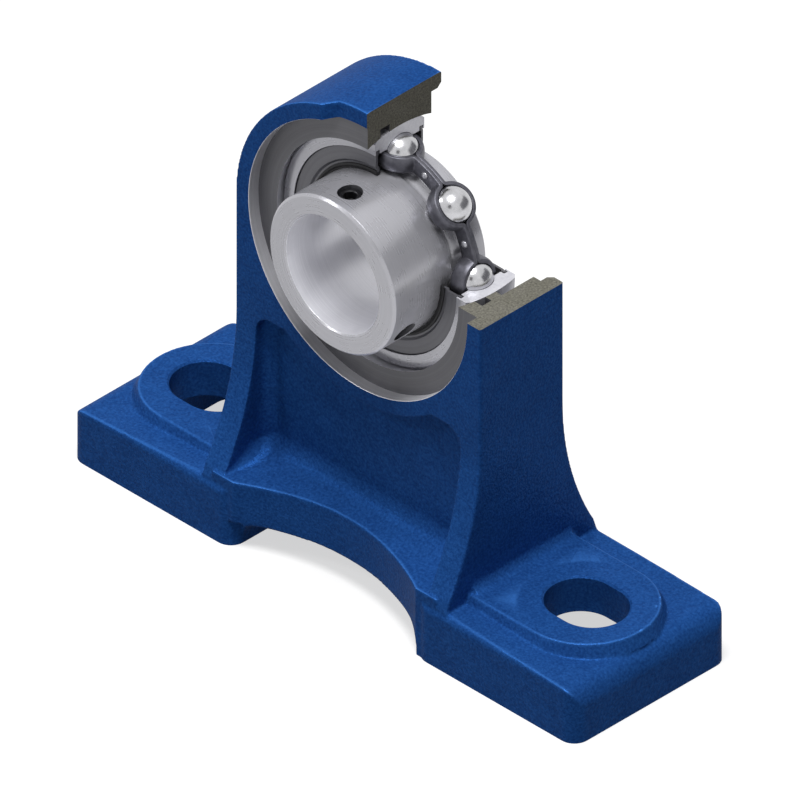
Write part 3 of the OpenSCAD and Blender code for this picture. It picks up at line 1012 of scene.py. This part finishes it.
# %% Rivets with Geometry Nodes
def rivet_tree():
    tree = bpy.data.node_groups.new("rivets round the cage", "GeometryNodeTree")
    tree.interface.new_socket("Geometry", in_out="OUTPUT", socket_type="NodeSocketGeometry")
    for label, kind in (("Count", "NodeSocketInt"), ("Circle Radius", "NodeSocketFloat"),
                        ("Head Radius", "NodeSocketFloat"), ("Head Height", "NodeSocketFloat"),
                        ("Grip", "NodeSocketFloat"), ("Centre Height", "NodeSocketFloat")):
        tree.interface.new_socket(label, in_out="INPUT", socket_type=kind)
    given = add(tree, "NodeGroupInput").outputs
    dome = add(tree, "GeometryNodeMeshUVSphere", {
        "Segments": 24, "Rings": 12, "Radius": given["Head Radius"]}).outputs["Mesh"]
    squash = maths(tree, "DIVIDE", given["Head Height"], given["Head Radius"])
    flat = add(tree, "ShaderNodeCombineXYZ", {"X": 1.0, "Y": 1.0, "Z": squash}).outputs["Vector"]
    up = add(tree, "ShaderNodeCombineXYZ", {"Z": given["Grip"]}).outputs["Vector"]
    down = add(tree, "ShaderNodeVectorMath", {0: up, "Scale": -1.0},
               operation="SCALE").outputs["Vector"]
    heads = [add(tree, "GeometryNodeTransform", {
        "Geometry": dome, "Translation": place, "Scale": flat}).outputs["Geometry"]
        for place in (up, down)]
    shank = add(tree, "GeometryNodeMeshCylinder", {
        "Vertices": 16, "Radius": maths(tree, "MULTIPLY", given["Head Radius"], 0.5),
        "Depth": maths(tree, "MULTIPLY", given["Grip"], 2.0)})
    rivet = add(tree, "GeometryNodeJoinGeometry")
    for part in (*heads, shank.outputs["Mesh"]):
        tree.links.new(part, rivet.inputs["Geometry"])
    circle = add(tree, "GeometryNodeMeshCircle", {
        "Vertices": given["Count"], "Radius": given["Circle Radius"]})
    placed = add(tree, "GeometryNodeInstanceOnPoints", {
        "Points": circle.outputs["Mesh"], "Instance": rivet.outputs["Geometry"]})
    lift = add(tree, "ShaderNodeCombineXYZ", {"Z": given["Centre Height"]})
    stood = add(tree, "GeometryNodeTransform", {
        "Geometry": placed.outputs["Instances"], "Translation": lift.outputs["Vector"],
        "Rotation": (math.pi / 2, math.pi / BALLS, 0)})
    real = add(tree, "GeometryNodeRealizeInstances", {"Geometry": stood.outputs["Geometry"]})
    smooth = add(tree, "GeometryNodeSetShadeSmooth", {"Geometry": real.outputs["Geometry"]})
    painted = add(tree, "GeometryNodeSetMaterial", {
        "Geometry": smooth.outputs[0], "Material": rivet_steel})
    add(tree, "NodeGroupOutput", {"Geometry": painted.outputs["Geometry"]})
    return tree


def set_inputs(modifier, values):
    sockets = {item.name: item.identifier for item in modifier.node_group.interface.items_tree
               if item.in_out == "INPUT"}
    for label, value in values.items():
        modifier[sockets[label]] = value


rivets = bpy.data.objects.new("cage_rivets_domed", bpy.data.meshes.new("cage_rivets_domed"))
bpy.context.scene.collection.objects.link(rivets)
maker = rivets.modifiers.new("rivets", "NODES")
maker.node_group = rivet_tree()
set_inputs(maker, {"Count": BALLS, "Circle Radius": CAGE_RADII[2] * MM, "Head Radius": 0.95 * MM,
                   "Head Height": 0.5 * MM, "Grip": CAGE_T * MM, "Centre Height": shaft.z})
bake_modifiers(rivets)
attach(rivets, "cage")
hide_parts("cage_rivets")
print("rivets:", len(rivets.data.polygons), "faces")

# %% [markdown]
# Each ball is a body of its own, because it rolls in its pocket. An icosphere
# has no poles, so its reflections stay even whichever way it rolls.

# %% Balls
for k in range(BALLS):
    angle = 2 * math.pi * k / BALLS
    mesh = bmesh.new()
    bmesh.ops.create_icosphere(mesh, subdivisions=5, radius=BALL_R * MM)
    bmesh.ops.translate(mesh, verts=mesh.verts,
                        vec=shaft + Vector((math.sin(angle), 0, math.cos(angle))) * PITCH_R * MM)
    ball = piece_from(mesh, f"ball_{k + 1}_lapped", mirror_steel)
    smooth_shade(ball, 60)
    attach(ball, f"ball_{k + 1}")
    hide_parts(f"ball_{k + 1}")
print("balls:", BALLS)

# %% [markdown]
# ## Floor and light
# The floor is pale and plain, and the world adds a little light from all sides.
# The Light Path node shows the floor and the world as white to the camera and in
# reflections, and gives the object less bounce than a white room would.

# %% Floor and world
FLOOR_HALF, FLOOR_T = 1500, 2
FLOOR_PALE, FLOOR_DIM, FLOOR_GLOW = 0.45, 0.12, 0.62
WORLD_FILL = 0.16


def grey(value):
    return (value, value, value, 1)


def seen_directly(tree):
    rays = add(tree, "ShaderNodeLightPath").outputs
    shiny = maths(tree, "MAXIMUM", rays["Is Glossy Ray"], rays["Is Transmission Ray"])
    return maths(tree, "MAXIMUM", rays["Is Camera Ray"], shiny)


def floor_material():
    material = bpy.data.materials.new("pale floor")
    material.use_nodes = True
    tree = material.node_tree
    tree.nodes.clear()
    pale = add(tree, "ShaderNodeBsdfDiffuse", {"Color": grey(FLOOR_PALE)})
    glow = add(tree, "ShaderNodeEmission", {"Color": grey(1), "Strength": FLOOR_GLOW})
    bright = add(tree, "ShaderNodeAddShader", {
        0: pale.outputs["BSDF"], 1: glow.outputs["Emission"]})
    dim = add(tree, "ShaderNodeBsdfDiffuse", {"Color": grey(FLOOR_DIM)})
    both = add(tree, "ShaderNodeMixShader", {
        0: seen_directly(tree), 1: dim.outputs["BSDF"], 2: bright.outputs["Shader"]})
    add(tree, "ShaderNodeOutputMaterial", {"Surface": both.outputs["Shader"]})
    return material


floor = block("floor", (-FLOOR_HALF, -FLOOR_HALF, -FLOOR_T), (FLOOR_HALF, FLOOR_HALF, 0),
              floor_material())

world = bpy.data.worlds.new("studio")
world.use_nodes = True
bpy.context.scene.world = world
room = world.node_tree
room.nodes.clear()
backdrop = add(room, "ShaderNodeBackground", {
    "Color": grey(1), "Strength": between(room, seen_directly(room), WORLD_FILL, 1.0)})
add(room, "ShaderNodeOutputWorld", {"Surface": backdrop.outputs["Background"]})
print("the world fills with", WORLD_FILL)

# %% [markdown]
# A wide, soft key light stands high above the object, a little to the front
# right. A small light at the upper front left draws the rims. The underside of
# the inner ring sees only the dark seat, so a small lamp stands low beside it.
# Light linking lets that lamp light the inner ring alone.

# %% Lamps
LAMPS_AIM_AT = Vector((0, 0, 0.06))


def lamp(name, direction, distance, size, watts):
    data = bpy.data.lights.new(name, "AREA")
    data.shape = "DISK"
    data.size = size
    data.energy = watts
    light = bpy.data.objects.new(name, data)
    aim = Vector(direction).normalized()
    light.location = LAMPS_AIM_AT + aim * distance
    light.rotation_euler = (-aim).to_track_quat("-Z", "Y").to_euler()
    bpy.context.scene.collection.objects.link(light)
    return light


def light_only(light, pieces):
    lit = bpy.data.collections.new(light.name + " receivers")
    for piece in pieces:
        lit.objects.link(piece)
    light.light_linking.receiver_collection = lit


lamp("key", (0.12, -0.18, 1.0), 2.5, 1.2, 61)
low_fill = lamp("low fill", (0.8, -0.35, -0.45), 0.12, 0.05, 0.16)
low_fill.visible_camera = False
low_fill.visible_glossy = False
light_only(low_fill, [bpy.data.objects["inner_ring_ground"]])
lamp("edge light", (-1.0, -1.0, 1.0), 1.5, 0.25, 3.0)
print("lamps:", len(bpy.data.lights))

# %% [markdown]
# Polished steel shows whatever stands round it, and a white room alone leaves it
# flat. Two grey flags outside the picture give it contrast. Only reflections
# see them: they light nothing and throw no shadow.

# %% Flags
FLAGS_FACE = Vector((0, 0, 0.07))


def flag(name, direction, distance, width, height, colour):
    material = bpy.data.materials.new(name)
    material.use_nodes = True
    tree = material.node_tree
    tree.nodes.clear()
    card = add(tree, "ShaderNodeEmission", {"Color": linear(colour), "Strength": 1.0})
    add(tree, "ShaderNodeOutputMaterial", {"Surface": card.outputs["Emission"]})
    aim = Vector(direction).normalized()
    across = aim.cross(Vector((0, 0, 1))).normalized() * width / 2
    upright = across.cross(aim).normalized() * height / 2
    middle = FLAGS_FACE + aim * distance
    mesh = bmesh.new()
    corners = ((-1, -1), (1, -1), (1, 1), (-1, 1))
    mesh.faces.new([mesh.verts.new(middle + across * u + upright * v) for u, v in corners])
    board = piece_from(mesh, name, material)
    board.visible_camera = False
    board.visible_diffuse = False
    board.visible_shadow = False


flag("right flag", (0.7, 0.7, 0.3), 0.9, 1.1, 0.6, "#7c7c80")
flag("small flag", (0.42, -0.62, 0.5), 0.7, 0.2, 0.24, "#38383b")
print("flags: 2")
